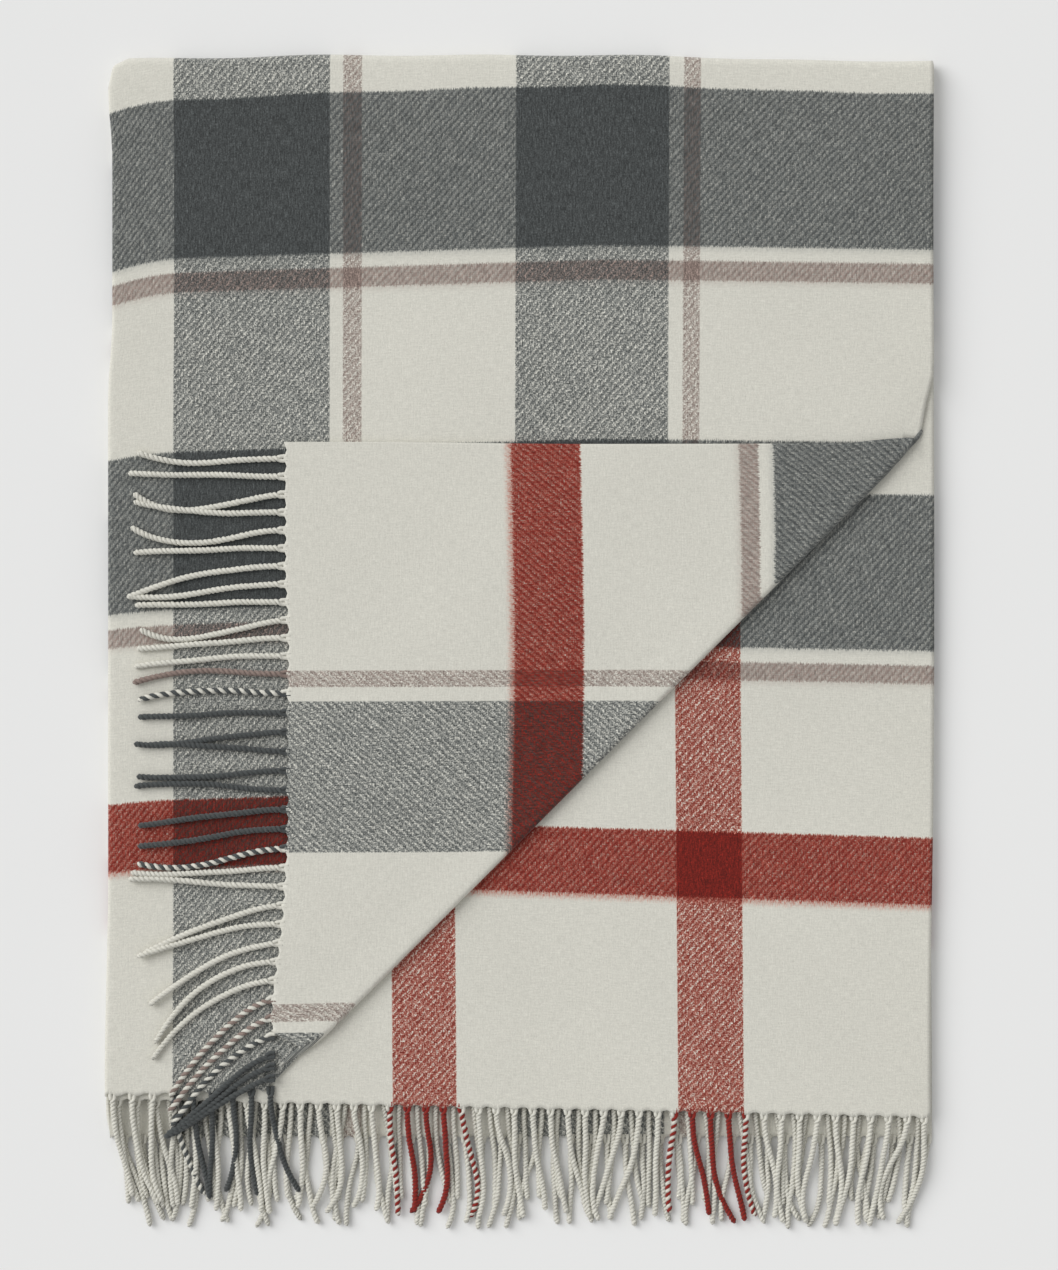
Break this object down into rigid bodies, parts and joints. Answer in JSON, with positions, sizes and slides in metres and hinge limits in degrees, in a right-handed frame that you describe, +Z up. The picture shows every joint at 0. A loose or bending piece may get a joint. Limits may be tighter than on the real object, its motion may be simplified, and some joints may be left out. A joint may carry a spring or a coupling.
{
  "type": "folded throw blanket",
  "caption": "Fringed plaid wool throw, folded to a flat rectangle, with one corner of its top layer turned back on the diagonal.",
  "frame": {"origin": "centre of the underside of the bounding box, on the floor under the folded throw", "axes": "+X across the folded throw, from the lengthwise fold to the selvedges; +Y along it, towards the crest of the crosswise fold; +Z up"},
  "size_m": [0.645, 0.918, 0.0176],
  "materials": {
    "plaid_cloth": "matte",
    "fringe_yarn": "matte"
  },
  "bodies": {
    "back_half": {"back_inner_fringe_1": "fringe_yarn", "back_inner_fringe_2": "fringe_yarn", "back_inner_fringe_3": "fringe_yarn", "back_inner_fringe_4": "fringe_yarn", "back_inner_fringe_5": "fringe_yarn", "back_inner_fringe_6": "fringe_yarn", "back_inner_panel": "plaid_cloth", "back_outer_fringe_1": "fringe_yarn", "back_outer_fringe_2": "fringe_yarn", "back_outer_fringe_3": "fringe_yarn", "back_outer_fringe_4": "fringe_yarn", "back_outer_fringe_5": "fringe_yarn", "back_outer_fringe_6": "fringe_yarn", "back_outer_panel": "plaid_cloth", "back_side_fold": "plaid_cloth", "top_fold_inner_back": "plaid_cloth", "top_fold_outer_back": "plaid_cloth"},
    "front_half": {"diagonal_fold_lower": "plaid_cloth", "front_inner_fringe_1": "fringe_yarn", "front_inner_fringe_2": "fringe_yarn", "front_inner_fringe_3": "fringe_yarn", "front_inner_fringe_4": "fringe_yarn", "front_inner_fringe_5": "fringe_yarn", "front_inner_fringe_6": "fringe_yarn", "front_inner_panel": "plaid_cloth", "front_outer_fringe_1": "fringe_yarn", "front_outer_fringe_2": "fringe_yarn", "front_outer_panel": "plaid_cloth", "front_side_fold": "plaid_cloth", "top_fold_inner_front": "plaid_cloth", "top_fold_outer_front": "plaid_cloth"},
    "turned_corner": {"diagonal_fold_upper": "plaid_cloth", "turned_corner_fringe_1": "fringe_yarn", "turned_corner_fringe_2": "fringe_yarn", "turned_corner_fringe_3": "fringe_yarn", "turned_corner_fringe_4": "fringe_yarn", "turned_corner_panel": "plaid_cloth"}
  },
  "joints": [
    {"name": "crosswise_fold", "type": "hinge", "parent": "back_half", "child": "front_half", "pos_m": [0, 0.459, 0.007], "axis": [-1, 0, 0], "range_deg": [0, 178]},
    {"name": "diagonal_fold", "type": "hinge", "parent": "front_half", "child": "turned_corner", "pos_m": [0.07775, -0.07775, 0.0142], "axis": [0.7071, 0.7071, 0], "range_deg": [0, 178]}
  ]
}
